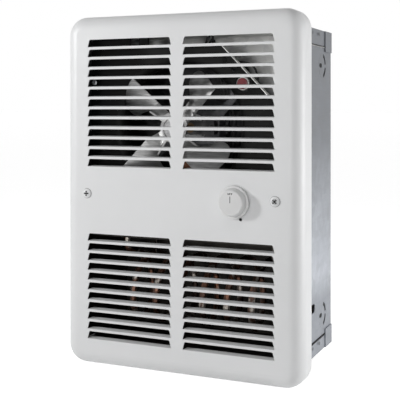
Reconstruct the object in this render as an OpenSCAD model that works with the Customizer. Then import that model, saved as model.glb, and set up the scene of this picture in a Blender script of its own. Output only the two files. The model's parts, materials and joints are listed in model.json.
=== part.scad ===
// Fan-forced wall heater, recessed: a louvred cover over a steel wall box that holds a
// fan deck, a shaded-pole motor, a coiled heating element, a thermostat and a limit switch.
// Frame: X to the viewer's right, Y into the wall, Z up. Origin: centre of the cover in the
// plane of the wall surface (y = 0). The cover stands in front of it, the box lies behind.

/* [Cover] */
// Width of the cover
cover_w = 290; // [284:1:320]
// Height of the cover
cover_h = 406; // [400:1:440]
// How far the cover stands off the wall
cover_d = 34; // [32:1:42]
// Sheet thickness of the cover
cover_t = 1.2; // [0.8:0.1:1.6]
// Rounding of the cover's front edges
edge_r = 16; // [8:1:18]
// Corner radius of the cover seen from the front
corner_r = 22; // [20:1:34]

/* [Grille] */
// Plain bar between the two columns of slots
mid_bar = 14; // [10:1:24]
// Plain margin beside the slots
side_margin = 30.5; // [28:0.5:40]
// Plain margin above the upper slots
top_margin = 27.6; // [25:0.1:32]
// Plain margin below the lower slots
bottom_margin = 31.4; // [29:0.1:36]
// Height of a slot
slot_h = 8.6; // [6:0.1:9.4]
// Pitch of the upper slots
upper_pitch = 11.53; // [10.8:0.01:11.8]
// Pitch of the lower slots
lower_pitch = 11.36; // [10.8:0.01:11.8]
// Number of upper slots in a column
upper_rows = 13; // [6:1:13]
// Number of lower slots in a column
lower_rows = 11; // [5:1:11]
// How much a slot's ends lean in towards its top edge
slot_slant = 1.8; // [0.5:0.1:3]
// Rounding of a slot's top corners
slot_r = 2; // [1:0.1:2.8]
// Angle by which a louvre rises as it goes inwards
louvre_rise = 6; // [0:1:12]

/* [Wall box] */
// How far the box sides stay inside the cover's sides
box_inset = 6; // [4:0.5:8]
// How far the box top lies below the cover's top edge
box_top_inset = 17.5; // [14:0.5:20]
// How far the box bottom lies above the cover's bottom edge
box_bottom_inset = 20.5; // [18:0.5:24]
// Depth of the box behind the wall surface
box_d = 105; // [100:1:120]
// Sheet thickness of the box
box_t = 1.2; // [0.8:0.1:1.5]
// Width of the top cap's flanges
top_flange = 18; // [14:0.5:22]
// Width of the bottom cap's flanges
bottom_flange = 15.5; // [12:0.5:20]
// Diameter of a knockout
knockout_d = 28.6; // [22:0.1:34]
// Distance of the knockouts from the front edge
knockout_y = 68; // [58:1:76]
// Diameter of the holes for the stud screws
stud_hole_d = 6; // [4:0.5:8]
// Distance of the stud holes from the front edge
stud_hole_y = 20; // [18:1:24]
// Height between the two stud holes of a side
stud_hole_gap = 110; // [100:1:140]
// Middle of the two stud holes, above the cover's centre
stud_hole_mid = 50; // [46:1:56]
// Length of the slot in the box's right side
side_slot_l = 26; // [16:1:30]
// Height of the slot in the box's right side
side_slot_h = 10; // [6:0.5:12]

/* [Fan deck] */
// Distance of the deck's front face behind the wall surface
deck_y = 10; // [8:0.5:13]
// Sheet thickness of the deck and the rails
deck_t = 1.2; // [1:0.1:1.6]
// Fan axis, to the right of the cover's centre
fan_x = -17; // [-20:1:-12]
// Fan axis, above the cover's centre
fan_z = 72.5; // [70:0.5:75]
// Radius of the fan blades' tips
fan_r = 73; // [66:0.5:74]
// Gap between the blade tips and the orifice
tip_gap = 3; // [2:0.1:4]
// Radius of the orifice's turned-in edge
lip_r = 8.5; // [4:0.5:9]
// Depth of the orifice's collar
collar_d = 16; // [12:1:20]

/* [Fan and motor] */
// Number of blades
blades = 4; // [3:1:5]
// Pitch of the blades in degrees
blade_pitch = 33; // [26:1:35]
// Thickness of the blades
blade_t = 1.2; // [0.8:0.1:1.6]
// Motor shaft diameter
shaft_d = 6.35; // [5:0.05:8]
// Thickness of the stator's stack
stack_d = 20; // [14:1:24]
// Rotor diameter
rotor_d = 32; // [28:0.5:36]
// Air gap between rotor and stator
air_gap = 0.5; // [0.3:0.05:0.8]

/* [Heating element] */
// Diameter of the element's sheath
tube_d = 8; // [6:0.5:9]
// Mean radius of the coil
coil_r = 39.5; // [34:0.5:40]
// Pitch of the coil
coil_pitch = 29.8; // [26:0.1:30.5]
// Height of the coil's axis
coil_z = -119.5; // [-121:0.5:-118]
// Depth of the coil's axis
coil_y = 44; // [42:1:48]

/* [Controls] */
// Knob axis, from the cover's right edge
knob_inset = 76.5; // [68:0.5:82]
// Knob axis, above the cover's centre
knob_z = -5.5; // [-12:0.5:0]
// Knob skirt diameter
knob_d = 36; // [30:0.5:40]
// Diameter of the knob's grip
grip_d = 29.6; // [24:0.2:31]
// How far the knob stands off the cover
knob_h = 12.5; // [11:0.5:18]
// Thermostat shaft diameter
control_shaft_d = 6; // [5:0.1:6.5]
// Direction of the reset button from the fan axis, in degrees above the horizontal
reset_angle = 32.2; // [28:0.1:37]
// Gap between the orifice's lip and the limit switch behind the button
reset_gap = 1.7; // [1:0.1:4]
// Reset button diameter
reset_d = 12.6; // [10:0.1:13]

/* [Hidden] */
$fn = 64;
// Radial clearance of a shaft that turns or slides in its bore
run = 0.06;
// Radial clearance of a screw or a pin in its hole
slip = 0.08;
// Gap that keeps two curved or moving faces apart
air = 0.3;

// Length by which a cut runs past the face it cuts
past = 1;

// Cover
front_y = -cover_d;
inner_y = front_y + cover_t;
half_w = cover_w / 2;
half_h = cover_h / 2;
slot_w = half_w - side_margin - mid_bar / 2;
upper_top = half_h - top_margin;
lower_bottom = -half_h + bottom_margin;
louvre_gap = 0.15;                   // clears the slot's ends and its top edge
louvre_d = slot_h - louvre_gap;

// Screws: diameter, head diameter and head height
cover_screw_d = 4;
cover_head_d = 10.6;
cover_head_h = 2.6;
deck_screw_d = 4;
deck_head_d = 7;
deck_head_h = 2;
screw_tip = 4;                       // how far a screw's tip stands out of the last sheet

cover_screw_x = half_w - 30;
cover_screw_z = -3;
knob_x = half_w - knob_inset;
dot_angle = -68;                     // of the dot about the knob's axis
dot_gap = 0.4;                       // between the knob's skirt and the dot, seen from the front
dot_d = 3.2;
dot_pin_d = 2.4;
dot_far = (knob_d + dot_d) / 2 + dot_gap;
dot_x = knob_x + dot_far * cos(dot_angle);
dot_z = knob_z + dot_far * sin(dot_angle);

// Wall box
box_x = half_w - box_inset;          // outer face of the end caps' tabs
wrap_x = box_x - box_t;              // outer face of the box sides and of the caps' flanges
side_x = wrap_x - box_t;             // inner face of the box sides
box_top = half_h - box_top_inset;
box_bottom = -half_h + box_bottom_inset;
rear_y = box_d - box_t;              // inner face of the box back
seam_gap = 1.5;                      // between a cap's flange and the box side
tab_l = 27;                          // tabs of the caps that lap the box sides at the rear
tab_lap = 4.5;
cap_corner = [21, 10];               // cut out of the flanges' front corners
knockout_inset = 40.5;               // knockout centres, from the box top and bottom
knockout_gap = 0.4;
knockout_tilt = 8;
hinge_l = 3.6;                       // the knockout still hangs at its front edge
hinge_w = 16;
strip_l = 4;                         // and by a strip at its rear
strip_w = 4.5;
pry_slot = [10, 3.2];
pry_offset = 7.5;
side_slot_y = 25;
side_slot_z = box_bottom + 54.5;

// Fan deck
deck_back = deck_y + deck_t;         // rear face of the deck, front face of its side strips
strip_back = deck_back + deck_t;     // rear face of the strips, front face of the rails
rail_back = strip_back + deck_t;
deck_x = side_x - 16.6;              // the strips start here
strip_x = side_x - 2.4;
deck_top = box_top - 15;
deck_raised = box_top - 3.5;
shelf_z = -48;                       // top of the air baffle, foot of the deck
corner_x = fan_x + 49.5;             // where the cut corner leaves the top edge
corner_slope = 1.036;
step_x = fan_x - 40.5;               // where the raised part of the top edge starts
notch_x = [fan_x - 64.4, fan_x - 53.6];
orifice_r = fan_r + tip_gap;
lip_lap = 0.2;                       // the lip is rooted this far in the deck's sheet
collar_back = deck_back + collar_d;
rail_w = 14;
rail_d = 14;
rail_foot = 2;                       // the rails start this far above the air baffle
deck_screw_x = side_x - 4.8;
strip_top = deck_top - (strip_x - corner_x) * corner_slope;
deck_screws_at = [[-deck_screw_x, fan_z + 54.5], [-deck_screw_x, shelf_z + 22],
    [deck_screw_x, strip_top - 16], [deck_screw_x, shelf_z + 22]];
spare_hole = [fan_x + 67.4, fan_z + 66.6];
spare_hole_r = 2.2;

// Planes of the fan and the motor, from front to back
blade_y = deck_y - 16;               // middle of the fan's disc
hub_front = blade_y - 6;
hub_back = blade_y + 14;
stator_y = deck_y + 44;
stator_back = stator_y + stack_d;
bearing_gap = 10;                    // room for the rotor's end rings
frame_t = 2;                         // motor bracket and bearing brackets
spider_y = stator_y - frame_t;
front_bearing_y = spider_y - bearing_gap - frame_t;
rear_bearing_y = stator_back + bearing_gap;
shaft_r = shaft_d / 2;
shaft_tail = 5;                      // shaft and bolts stand out behind the rear bracket
rotor_r = rotor_d / 2;
bolt_x = rotor_r + air_gap + 10.5;
bolt_d = 4;
bolt_head = [7, 2.2];
hub_r = 11;
nose_r = 8;
set_screw_r = 1.5;
set_screw_y = blade_y + 8;
disc_r = hub_r + 5.5;
disc_t = 2.4;
disc_bead = [13.2, 1.2];             // ring pressed into the disc: its radius, its height

// The blades, seen along the axis, in degrees from +X. The leading edge is a straight line
// that passes the axis at a distance, less near the disc. The trailing edge follows an arm of
// the disc and then a round lobe that meets the tip's circle.
lead_dir = 47.4;
lead_off = 12.7;
lead_root = [6.5, 0.2];
root_dir = 56;
root_l = 36;
root_w = 2.8;
lobe_dir = 62;
lobe_r = 13.5;
lobe_at = fan_r - lobe_r;
lobe_join = fan_r - 23;
twist_r = [14, 32];                  // the blade turns to its full pitch between these radii
blade_camber = 2.5;
blade_root = 12;
blade_steps = [14, 8];               // faces along the blade and across it
boss_r = 8.5;
bearing_r = 6;
boss_len = 4;
bearing_len = frame_t + boss_len;
strap_w = 16;                        // bearing brackets
strap_end = 4;
core_w = 12;                         // the stator limb that carries the winding
core_top = rotor_r + air_gap + 30;   // the limb's upper face, below the shaft axis
stator_edge = 5;                     // laminations beyond the bolts
stator_wall = 10;                    // laminations above and below the rotor
window_x = 19;
bobbin_gap = 0.3;
bobbin_t = 1;
coil_build = 8;

// The motor bracket: a plate behind the orifice, two arms and two feet on the deck
spider_edge = 6;                     // the plate beyond the bolts, and its two halves' heights
spider_low = 14;
spider_high = 20;
spider_bore = 1.5;                   // its hole, beyond the rotor
arm_root = 8;
arm_rise = 3;
arm_in = 47;
arm_out = 54;
arm_z = 33;
foot_in = 44;
foot_out = 60;
foot_l = 11;
foot_clear = 1;                      // between the feet and the orifice's lip
foot_far = orifice_r + lip_r + foot_clear;
foot_z = sqrt(foot_far * foot_far - foot_in * foot_in);
leg_z = foot_z + foot_l;
foot_screw = [56, foot_z + foot_l / 2];

// Element
coil_loops = 6;                      // crossings of the coil's front that show
coil_x0 = -coil_pitch * (coil_loops - 1) / 2;
coil_start = -270;
coil_end = 360 * coil_loops + 90;
lead_bend = 14;
ring_step = 15;
tube_sides = 8;
lead_top = shelf_z + 14;
bushing_r = tube_d / 2 + 3.5;        // flange, neck and length of the ceramic bushings
bushing_neck_r = tube_d / 2 + 1.8;
bushing_h = 8;
baffle_hole_r = tube_d / 2 + 2;
pin_r = 1.5;                         // cold pins and the tabs on them
pin_l = 8;
pin_tab = [6, 8];
pin_tab_up = 4;
hanger_w = 8;
hanger_t = 1.2;
hanger_foot = 12;

// Air baffle
baffle_back = 70;
baffle_lip = 9;
baffle_side = 14;

// Thermostat
plate_y = front_y + 9;               // front face of the thermostat's mounting plate
plate_t = 1.5;
plate_w = 40;
plate_leg = 4;
tab_up = 12;                         // tabs that fasten the plate and the brackets
thermo_w = 36;
thermo_h = 32;
thermo_d = 24;
thermo_foot = 3;                     // the plate reaches higher than the body by this much
spade = [6, 8, 0.8];
spade_x = 10;
spade_back = 6;
bushing_d = 9.5;
bushing_l = 5;
nut_d = 16;
nut_t = 3;
control_r = control_shaft_d / 2;
knob_gap = 1;
knob_back = front_y - knob_gap;
knob_front = front_y - knob_h;
shaft_seat = 3;                      // the shaft ends this far behind the knob's face
bracket_w = 16;
bracket_seat = 12;

// Limit switch
limit_r = 9.5;
limit_d = 13;
reset_far = orifice_r + lip_r + reset_gap + limit_r;
reset_x = fan_x + reset_far * cos(reset_angle);
reset_z = fan_z + reset_far * sin(reset_angle);
bezel_d = reset_d + 3.4;
bezel_front = deck_y - 6;
bezel_bevel = 0.8;
reset_front = bezel_front - 2.6;
reset_back = deck_y - 2;
stem_r = 2;
stem_l = 5;
switch_tab = [6, 8, 0.8];
switch_tab_x = 6;

// Terminal block and wiring
terminal_w = 42;
terminal_h = 18;
terminal_gap = 7.5;                  // below the screw in the motor bracket's foot
terminal_x = -deck_x + 58;
terminal_z = fan_z - foot_screw[1] - deck_head_d / 2 - terminal_gap - terminal_h / 2;
terminal_d = 12;
terminal_pitch = 13;
terminal_way = 10;
terminal_floor = deck_y - 7;
wire_y = terminal_floor - 1.6;       // leads that run in front of the deck
terminal_screw_d = 3.5;
ground_x = -deck_x + 20;
ground_z = -20;
ground_head = [9, 3];
wire_holes = [[-deck_x + 27, terminal_z + 22], [deck_x - 19, -14]];
wire_hole_r = 6;
lead_d = 2.6;
lead_r = lead_d / 2;
lead_end = 4.2;                      // from a terminal screw to the lead's end
// Points the leads pass. Motor leads: from the deck's cut corner, under the motor bracket's
// leg and over the deck's edge, with the direction in which the second lead lies beside the
// first; then from the motor's axis and rear face.
lead_pair = 4.6;
lead_level = [deck_top, fan_z + leg_z, fan_z + leg_z, deck_top, deck_top];
lead_over = [[22, 26, -25], [14, 24, -9.5], [-9, 22, -8.5], [-12, 7, 5], [-19, 14, -8]];
lead_beside = [[2, 0, 0], [1, 0, 0.5], [-1, 0, 0], [-0.5, 0, 1], [-1, 0, 0]];
lead_down = [[31, -17, 74], [40, -6, 36], [42, 6, -14], [30, 14, -46.5]];
// Element lead: from its hole in the deck
lead_element = [[-1, 12, 1], [0, 0, 0], [6, -8.6, -2]];
// Thermostat leads: midway between the terminal block and the air baffle, and from the
// right-hand hole
lead_low = [40, 18];
lead_low_start = [-12, -6, 8];
lead_up = [[-1, -7, -14], [0, -1, -1], [0, 13, 8], [-4, 21, 59], [-14, 25, 99]];
lead_up_end = [8, 12, -20];

// ---- helpers ----

// A plate from y0 back to y1 whose outline is drawn in (X, Z)
module slab(y0, y1) {
    translate([0, y1, 0]) rotate([90, 0, 0]) linear_extrude(y1 - y0) children();
}

// A round rod along Y
module rod(x, z, r, y0, y1) {
    slab(y0, y1) translate([x, z]) circle(r);
}

// A body of revolution about a line along Y, from a profile in (radius, y)
module turned(x, z) {
    translate([x, 0, z]) rotate([-90, 0, 0]) rotate_extrude() children();
}

// A box given by its two corners
module block(a, b) {
    translate(a) cube(b - a);
}

module mirrored() {
    children();
    mirror([1, 0, 0]) children();
}

function arc(cx, cy, r, a0, a1, n) =
    [for (i = [0:n]) let (a = a0 + (a1 - a0) * i / n) [cx + r * cos(a), cy + r * sin(a)]];

function unit(v) = v / norm(v);

// A smooth curve through hand-chosen points, with a given number of steps to each span.
// Its heading at a point leans to the shorter span there.
function heading(p, i) =
    i == 0 ? unit(p[1] - p[0]) : i == len(p) - 1 ? unit(p[i] - p[i - 1])
    : let (a = p[i] - p[i - 1], b = p[i + 1] - p[i]) unit(norm(b) * unit(a) + norm(a) * unit(b));
function curve_point(p, i, t) =
    let (b = p[i], c = p[i + 1], u = 1 - t)
    u * u * (1 + 2 * t) * b + t * t * (1 + 2 * u) * c
        + u * t * norm(c - b) * (u * heading(p, i) - t * heading(p, i + 1));
function curve(p, steps) =
    [for (i = [0:len(p) - 2]) for (s = [0:steps - 1]) curve_point(p, i, s / steps),
     p[len(p) - 1]];

// A lead's route: it leaves and arrives straight, and passes hand-chosen points between
function route(a, a_dir, between, b, b_dir) = curve(concat(
    [a, a + 2 * a_dir, a + 4 * a_dir], between, [b + 4 * b_dir, b + 2 * b_dir, b]), 4);

function tangent(p, i) =
    unit(p[min(i + 1, len(p) - 1)] - p[max(i - 1, 0)]);
function side_of(t, ref) = unit(ref - (ref * t) * t);
function ring(p, i, r, sides, ref) =
    let (t = tangent(p, i), a = side_of(t, ref), b = cross(t, a))
    [for (k = [0:sides - 1]) p[i] + r * (cos(360 * k / sides) * a + sin(360 * k / sides) * b)];

// A tube along a path: one closed skin of triangles. ref is never along the path.
module tube(p, r, sides, ref) {
    n = len(p);
    pts = [for (i = [0:n - 1]) each ring(p, i, r, sides, ref)];
    walls = [for (i = [0:n - 2]) for (k = [0:sides - 1])
        let (a = i * sides + k, b = i * sides + (k + 1) % sides)
        each [[a, a + sides, b], [b, a + sides, b + sides]]];
    ends = [for (k = [1:sides - 2]) each [[0, k, k + 1],
        [(n - 1) * sides, (n - 1) * sides + k + 1, (n - 1) * sides + k]]];
    polyhedron(points = pts, faces = concat(walls, ends), convexity = 10);
}

// Pan head with a cross recess, its seat at y = 0, its top towards -Y
module pan_head(d, h) {
    cross_w = d * 0.13;
    cross_l = d * 0.56;
    sag = h * 0.62;
    dome_r = (d * d / 4 + sag * sag) / (2 * sag);
    difference() {
        intersection() {
            rotate([90, 0, 0]) cylinder(r = d / 2, h = h);
            translate([0, dome_r - h, 0]) sphere(dome_r);
        }
        for (a = [0, 90])
            rotate([0, a, 0]) translate([-cross_l / 2, -h - 1, -cross_w / 2])
                cube([cross_l, 1 + h * 0.55, cross_w]);
    }
}

// A pan-head screw whose head sits at y0 and whose shank ends at y1
module screw(x, z, y0, y1, d, head_d, head_h) {
    translate([x, y0, z]) pan_head(head_d, head_h);
    rod(x, z, d / 2, y0 - 0.01, y1);
}

// ---- cover ----

// Rounded rectangle in (X, Z)
module round_rect(w, h, r) {
    for (x = [-1, 1]) for (z = [-1, 1])
        translate([x * (w / 2 - r), z * (h / 2 - r)]) circle(r);
    square([w - 2 * r, h], center = true);
    square([w, h - 2 * r], center = true);
}

module cover_shell() {
    difference() {
        cover_solid(0);
        cover_solid(cover_t);
    }
}

// The cover as a full block, drawn in by one sheet thickness on every side but the rear
module cover_solid(inset) {
    r = corner_r - inset;
    e = edge_r - inset;
    w = cover_w - 2 * inset;
    h = cover_h - 2 * inset;
    y0 = front_y + inset;
    y1 = inset > 0 ? 1 : 0;
    flat = corner_r - edge_r;
    slab(y0 + e, y1) round_rect(w, h, r);
    slab(y0, y0 + e + 0.01) round_rect(w - 2 * e, h - 2 * e, flat);
    for (z = [-1, 1])
        translate([-(w / 2 - r), y0 + e, z * (h / 2 - e)])
            rotate([0, 90, 0]) cylinder(r = e, h = w - 2 * r);
    for (x = [-1, 1])
        translate([x * (w / 2 - e), y0 + e, -(h / 2 - r)]) cylinder(r = e, h = h - 2 * r);
    for (x = [-1, 1]) for (z = [-1, 1])
        translate([x * (w / 2 - r), y0 + e, z * (h / 2 - r)]) rotate([90, 0, 0])
            rotate_extrude() {
                square([flat, e]);
                intersection() {
                    translate([flat, 0]) circle(e);
                    square([flat + e, e]);
                }
            }
}

// A slot's outline: its lower edge is the full length, its ends lean in and round over
function slot_outline(w, h) = concat(
    [[0, 0], [w, 0]],
    arc(w - slot_slant - slot_r, h - slot_r, slot_r, 8, 90, 4),
    arc(slot_slant + slot_r, h - slot_r, slot_r, 90, 172, 4));

module slot_hole(z) {
    translate([mid_bar / 2, 0, z]) slab(front_y - past, inner_y + past)
        polygon(slot_outline(slot_w, slot_h));
}

// The tongue cut out of the slot, folded in about the slot's lower edge
module louvre(z) {
    translate([mid_bar / 2 + louvre_gap, front_y, z]) rotate([louvre_rise - 90, 0, 0])
        slab(0, cover_t) polygon(slot_outline(slot_w - 2 * louvre_gap, louvre_d));
}

function upper_slot(i) = upper_top - slot_h - upper_pitch * i;
function lower_slot(i) = lower_bottom + lower_pitch * i;

module front_cover() {
    color("whitesmoke") {
        difference() {
            cover_shell();
            mirrored() {
                for (i = [0:upper_rows - 1]) slot_hole(upper_slot(i));
                for (i = [0:lower_rows - 1]) slot_hole(lower_slot(i));
                rod(cover_screw_x, cover_screw_z, cover_screw_d / 2 + air,
                    front_y - past, inner_y + past);
            }
            rod(knob_x, knob_z, bushing_d / 2 + past, front_y - past, inner_y + past);
            rod(dot_x, dot_z, dot_pin_d / 2 + slip, front_y - past, inner_y + past);
        }
        mirrored() {
            for (i = [0:upper_rows - 1]) louvre(upper_slot(i));
            for (i = [0:lower_rows - 1]) louvre(lower_slot(i));
        }
    }
}

module cover_screws() {
    color("white") mirrored()
        screw(cover_screw_x, cover_screw_z, front_y, inner_y + 2 * cover_screw_d,
            cover_screw_d, cover_head_d, cover_head_h);
}

// The black reference mark below the knob: a small plug
module index_dot() {
    color("black") {
        rod(dot_x, dot_z, dot_d / 2, front_y - 0.5, front_y);
        rod(dot_x, dot_z, dot_pin_d / 2, front_y - 0.01, inner_y + 0.8);
    }
}

// Standoffs on the deck that the cover's screws bite into
module cover_brackets() {
    half = bracket_w / 2;
    seat = bracket_seat / 2;
    color("gainsboro") mirrored() difference() {
        translate([cover_screw_x, 0, cover_screw_z]) {
            block([-half, inner_y, -seat], [half, inner_y + box_t, seat]);
            block([-half, inner_y, seat - box_t], [half, deck_y, seat]);
            block([-half, deck_y - box_t, seat - box_t], [half, deck_y, seat + tab_up]);
        }
        rod(cover_screw_x, cover_screw_z, cover_screw_d / 2 + slip, inner_y - past,
            inner_y + box_t + past);
    }
}

// ---- thermostat and knob ----

module knob() {
    skirt_t = 3.2;
    skirt_round = 1.2;
    skirt_r = knob_d / 2;
    grip_r = grip_d / 2;
    taper = 0.8;
    rim_r = 1.6;
    foot_r = 1;
    wall = 2;
    core_r = control_r + 2.6;
    color("white") difference() {
        turned(knob_x, knob_z) polygon(concat(
            [[0, knob_back], [skirt_r, knob_back]],
            arc(skirt_r - skirt_round, knob_back - skirt_t + skirt_round, skirt_round,
                0, -90, 4),
            [[grip_r + foot_r, knob_back - skirt_t]],
            arc(grip_r - taper - rim_r, knob_front + rim_r, rim_r, 0, -90, 5),
            [[0, knob_front]]));
        turned(knob_x, knob_z) polygon([[core_r, knob_back + past],
            [skirt_r - wall, knob_back + past], [skirt_r - wall, knob_back - skirt_t / 2],
            [grip_r - wall, knob_back - skirt_t], [grip_r - taper - wall, knob_front + wall],
            [core_r, knob_front + wall]]);
        rod(knob_x, knob_z, control_r + slip, knob_front + shaft_seat, knob_back + past);
    }
}

module thermostat_shaft() {
    color("silver") rod(knob_x, knob_z, control_r, knob_front + shaft_seat + air,
        plate_y + plate_t + thermo_d / 3);
}

module thermostat_plate() {
    half = plate_w / 2;
    leg_top = knob_z + thermo_h / 2 + plate_leg;
    color("gainsboro") difference() {
        union() {
            block([knob_x - half, plate_y, knob_z - thermo_h / 2],
                [knob_x + half, plate_y + plate_t, leg_top]);
            block([knob_x - half, plate_y, leg_top - plate_t], [knob_x + half, deck_y, leg_top]);
            block([knob_x - half, deck_y - plate_t, leg_top - plate_t],
                [knob_x + half, deck_y, leg_top + tab_up]);
        }
        rod(knob_x, knob_z, bushing_d / 2 + slip, plate_y - past, plate_y + plate_t + past);
    }
}

module thermostat_body() {
    body_front = plate_y + plate_t;
    body_bottom = knob_z - thermo_h / 2;
    color("saddlebrown") difference() {
        union() {
            block([knob_x - thermo_w / 2, body_front, body_bottom],
                [knob_x + thermo_w / 2, body_front + thermo_d,
                    body_bottom + thermo_h - thermo_foot]);
            rod(knob_x, knob_z, bushing_d / 2, plate_y - bushing_l, body_front + past);
            // two spade terminals
            for (s = [-1, 1]) translate([knob_x + s * spade_x - spade[0] / 2,
                body_front + thermo_d - spade_back, body_bottom + 1 - spade[1]])
                cube([spade[0], spade[2], spade[1]]);
        }
        rod(knob_x, knob_z, control_r + run, plate_y - bushing_l - past,
            body_front + thermo_d / 3 + air);
    }
}

module thermostat_nut() {
    color("silver") difference() {
        slab(plate_y - nut_t, plate_y) translate([knob_x, knob_z]) circle(d = nut_d, $fn = 6);
        rod(knob_x, knob_z, bushing_d / 2 + slip, plate_y - nut_t - past, plate_y + past);
    }
}

// ---- wall box ----

// A slot with round ends along Y, from x0 to x1
module slot_x(l, h, x0, x1) {
    translate([x0, 0, 0]) rotate([90, 0, 90]) linear_extrude(x1 - x0) {
        square([l - h, h], center = true);
        for (s = [-1, 1]) translate([s * (l - h) / 2, 0]) circle(h / 2);
    }
}

// Children are drawn for the right side, with the side's outer face at x = 0
module at_knockouts() {
    for (z = [box_top - knockout_inset, box_bottom + knockout_inset])
        translate([wrap_x, knockout_y, z]) children();
}

// A disc half pierced out of the side: it hangs at its front edge and dips inwards, and a
// strip at its rear still holds it
module knockout_disc() {
    r = knockout_d / 2;
    dip = (knockout_d - strip_l) * sin(knockout_tilt);
    difference() {
        union() {
            translate([0, -r, 0]) rotate([0, 0, knockout_tilt]) translate([-box_t, r, 0])
                rotate([0, 90, 0]) cylinder(r = r - knockout_gap, h = box_t);
            block([-box_t, -r - knockout_gap, -hinge_w / 2], [0, hinge_l - r, hinge_w / 2]);
            translate([0, 0, -strip_w / 2]) linear_extrude(strip_w) polygon([
                [0, r + knockout_gap], [-box_t, r + knockout_gap],
                [-box_t - dip, r - strip_l], [-dip, r - strip_l]]);
        }
        translate([0, -pry_offset, 0]) slot_x(pry_slot[0], pry_slot[1], -knockout_d / 3, past);
    }
}

module stud_holes() {
    for (s = [-0.5, 0.5])
        translate([-box_x - past, stud_hole_y, stud_hole_mid + s * stud_hole_gap])
            rotate([0, 90, 0]) cylinder(r = stud_hole_d / 2, h = 2 * (box_x + past));
}

// A closed knockout's outline: a groove in the left side's outer face
module knockout_groove() {
    translate([-box_t / 2, 0, 0]) rotate([0, 90, 0]) difference() {
        cylinder(d = knockout_d, h = box_t);
        translate([0, 0, -past]) cylinder(r = knockout_d / 2 - knockout_gap, h = box_t + 2 * past);
    }
}

// Back and both sides: one sheet bent to a U
module box_wrap() {
    color("lightsteelblue") {
        difference() {
            union() {
                block([-wrap_x, rear_y, box_bottom + box_t], [wrap_x, box_d, box_top - box_t]);
                mirrored() block([side_x, 0, box_bottom + bottom_flange + seam_gap],
                    [wrap_x, box_d, box_top - top_flange - seam_gap]);
            }
            at_knockouts() translate([-box_t - past, 0, 0]) rotate([0, 90, 0])
                cylinder(d = knockout_d, h = box_t + 2 * past);
            mirror([1, 0, 0]) at_knockouts() knockout_groove();
            stud_holes();
            translate([0, side_slot_y, side_slot_z])
                slot_x(side_slot_l, side_slot_h, side_x - past, box_x);
        }
        at_knockouts() knockout_disc();
    }
}

// An end cap: a plate whose flanges stand edge to edge with the sides, with a tab at the rear
// that laps each side. It is drawn for the top (s = 1) and turned over for the bottom (s = -1).
module end_cap(s, z, flange) {
    translate([0, 0, z]) mirror([0, 0, s < 0 ? 1 : 0]) {
        block([-wrap_x, 0, -box_t], [wrap_x, box_d, 0]);
        mirrored() {
            difference() {
                block([side_x, 0, -flange], [wrap_x, rear_y, 0]);
                block([side_x - past, -past, -cap_corner[1]],
                    [wrap_x + past, cap_corner[0], -box_t]);
            }
            block([wrap_x - box_t / 2, box_d - tab_l, -flange], [box_x, rear_y, 0]);
            block([wrap_x, box_d - tab_l, -flange - seam_gap - tab_lap], [box_x, box_d, 0]);
        }
    }
}

module box_top_cap() {
    color("lightsteelblue") end_cap(1, box_top, top_flange);
}

module box_bottom_cap() {
    color("lightsteelblue") end_cap(-1, box_bottom, bottom_flange);
}

// Angles on the box sides that the deck is screwed to
module deck_rail(x_wall, x_in, top) {
    x_face = x_wall + (x_in > x_wall ? deck_t : -deck_t);
    z0 = shelf_z + rail_foot;
    block([min(x_wall, x_in), strip_back, z0], [max(x_wall, x_in), rail_back, top]);
    block([min(x_wall, x_face), strip_back, z0],
        [max(x_wall, x_face), strip_back + rail_d, top]);
}

module deck_rails() {
    color("dimgray") difference() {
        union() {
            deck_rail(-side_x, -side_x + rail_w, deck_top - 6);
            deck_rail(side_x, side_x - rail_w, strip_top - 4);
        }
        deck_screw_holes(deck_screw_d / 2 + slip);
        stud_holes();
    }
}

// ---- fan deck ----

module deck_screw_holes(r) {
    for (p = deck_screws_at) rod(p[0], p[1], r, deck_y - past, rail_back + past);
}

module deck_outline() {
    edge_z = deck_top - (deck_x - corner_x) * corner_slope;
    polygon([[-deck_x, shelf_z], [deck_x, shelf_z], [deck_x, edge_z],
        [corner_x, deck_top], [step_x, deck_top], [step_x, deck_raised],
        [notch_x[1], deck_raised], [notch_x[1], deck_top], [notch_x[0], deck_top],
        [notch_x[0], deck_raised], [-deck_x, deck_raised]]);
}

// The orifice's edge: the sheet turns in through a quarter circle and runs on as a collar
module orifice_lip() {
    turned(fan_x, fan_z) {
        intersection() {
            translate([orifice_r + lip_r, deck_y + lip_r]) difference() {
                circle(lip_r);
                circle(lip_r - deck_t);
            }
            translate([orifice_r, deck_y]) square([lip_r, lip_r]);
        }
        translate([orifice_r, deck_y + lip_r]) square([deck_t, collar_back - deck_y - lip_r]);
    }
}

module fan_deck() {
    color([0.13, 0.13, 0.13]) {
        difference() {
            union() {
                slab(deck_y, deck_back) deck_outline();
                // side strips, set back by one sheet to lie on the rails
                block([-strip_x, deck_back, shelf_z], [2 - deck_x, strip_back, deck_raised]);
                block([deck_x - 2, deck_back, shelf_z], [strip_x, strip_back, strip_top]);
            }
            rod(fan_x, fan_z, orifice_r + lip_r - lip_lap, deck_y - past, deck_back + past);
            deck_screw_holes(deck_screw_d / 2 + slip);
            for (s = [-1, 1])
                rod(fan_x + s * foot_screw[0], fan_z + s * foot_screw[1],
                    deck_screw_d / 2 + slip, deck_y - past, deck_back + past);
            rod(reset_x, reset_z, stem_r + past, deck_y - past, deck_back + past);
            for (p = wire_holes) rod(p[0], p[1], wire_hole_r, deck_y - past, deck_back + past);
            rod(ground_x, ground_z, deck_screw_d / 2 + slip, deck_y - past, deck_back + past);
            rod(spare_hole[0], spare_hole[1], spare_hole_r, deck_y - past, deck_back + past);
        }
        orifice_lip();
    }
}

module deck_screws() {
    color("silver") for (p = deck_screws_at)
        screw(p[0], p[1], deck_back, rail_back + screw_tip, deck_screw_d, deck_head_d,
            deck_head_h);
}

// ---- fan ----

function smooth(t) = let (u = max(0, min(1, t))) u * u * (3 - 2 * u);

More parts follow.
